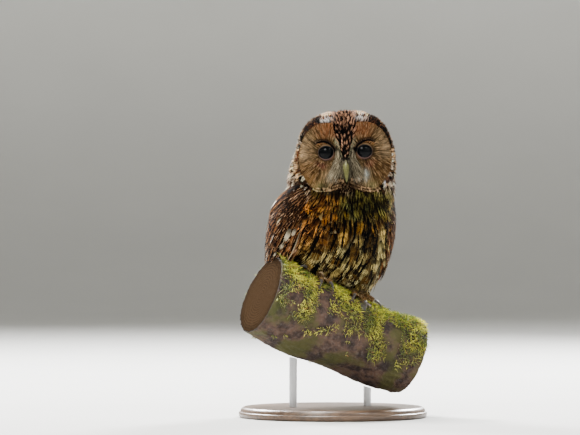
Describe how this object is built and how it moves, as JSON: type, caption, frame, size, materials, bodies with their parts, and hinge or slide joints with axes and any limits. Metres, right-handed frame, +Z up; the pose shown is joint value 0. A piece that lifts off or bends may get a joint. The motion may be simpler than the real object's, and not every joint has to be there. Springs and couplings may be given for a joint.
{
  "type": "perched tawny owl model on display stand",
  "caption": "Life-size still model of a tawny owl perched on a cut, moss-covered branch, which a round base and upright rods hold.",
  "frame": {"origin": "centre of the stand base's underside", "axes": "+Z up; the owl's trunk faces -Y and its left side is +X; its head is turned towards its right"},
  "size_m": [0.2487, 0.244, 0.397],
  "materials": {
    "feather_face": "short soft feathers, matt",
    "feather_brown": "soft feathers with dark streaks, matt",
    "feather_wing": "firm feathers, matt with a slight sheen",
    "feather_leg": "short pale feathers, matt",
    "eye_black": "wet gloss",
    "bill_horn": "horn, satin",
    "claw_horn": "dark horn, satin",
    "moss_bark": "bark under moss, sawn ends",
    "stand_steel": "satin",
    "stand_wood": "dark stained, satin"
  },
  "bodies": {
    "root": {"head": "feather_face", "neck": "feather_brown", "trunk": "feather_brown", "tail": "feather_wing", "wing_l": "feather_wing", "wing_r": "feather_wing", "leg_l": "feather_leg", "leg_r": "feather_leg", "foot_l": "feather_leg", "foot_r": "feather_leg", "claw_l_inner": "claw_horn", "claw_l_middle": "claw_horn", "claw_l_outer": "claw_horn", "claw_l_hind": "claw_horn", "claw_r_inner": "claw_horn", "claw_r_middle": "claw_horn", "claw_r_outer": "claw_horn", "claw_r_hind": "claw_horn", "eye_l": "eye_black", "eye_r": "eye_black", "bill": "bill_horn", "perch": "moss_bark", "stand_rod_1": "stand_steel", "stand_rod_2": "stand_steel", "stand_base": "stand_wood"}
  },
  "joints": []
}
